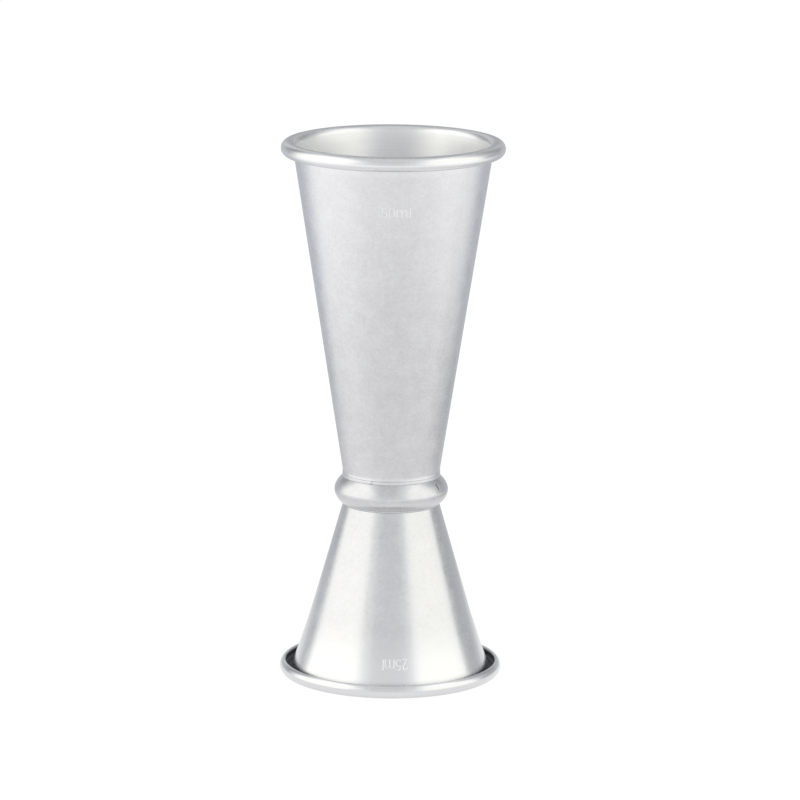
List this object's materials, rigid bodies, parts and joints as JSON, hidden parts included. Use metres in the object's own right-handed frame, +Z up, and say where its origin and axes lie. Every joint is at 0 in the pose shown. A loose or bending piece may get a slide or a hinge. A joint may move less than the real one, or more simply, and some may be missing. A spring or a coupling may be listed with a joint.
{
  "type": "double-ended bar measure",
  "caption": "Slim double-ended spirit measure: a tall tapered cup over a shorter inverted one, rolled lips, with a half-round ring at the waist.",
  "frame": {"origin": "on the axis, in the plane of the small cup's mouth, which the measure rests on", "axes": "+Z up along the axis, from the small cup's mouth to the large cup's mouth; -Y is the front, and the ring's soldered seam faces front right"},
  "size_m": [0.0462, 0.0462, 0.1125],
  "materials": {
    "pewter": "satin, finely scratched and mottled pale grey pewter",
    "solder": "dull soft solder, wiped smooth"
  },
  "bodies": {
    "root": {"large_cup": "pewter", "small_cup": "pewter", "waist_ring": "pewter", "joint_solder": "solder", "seam_solder": "solder", "upper_solder_fillet": "solder", "lower_solder_fillet": "solder"}
  },
  "joints": []
}
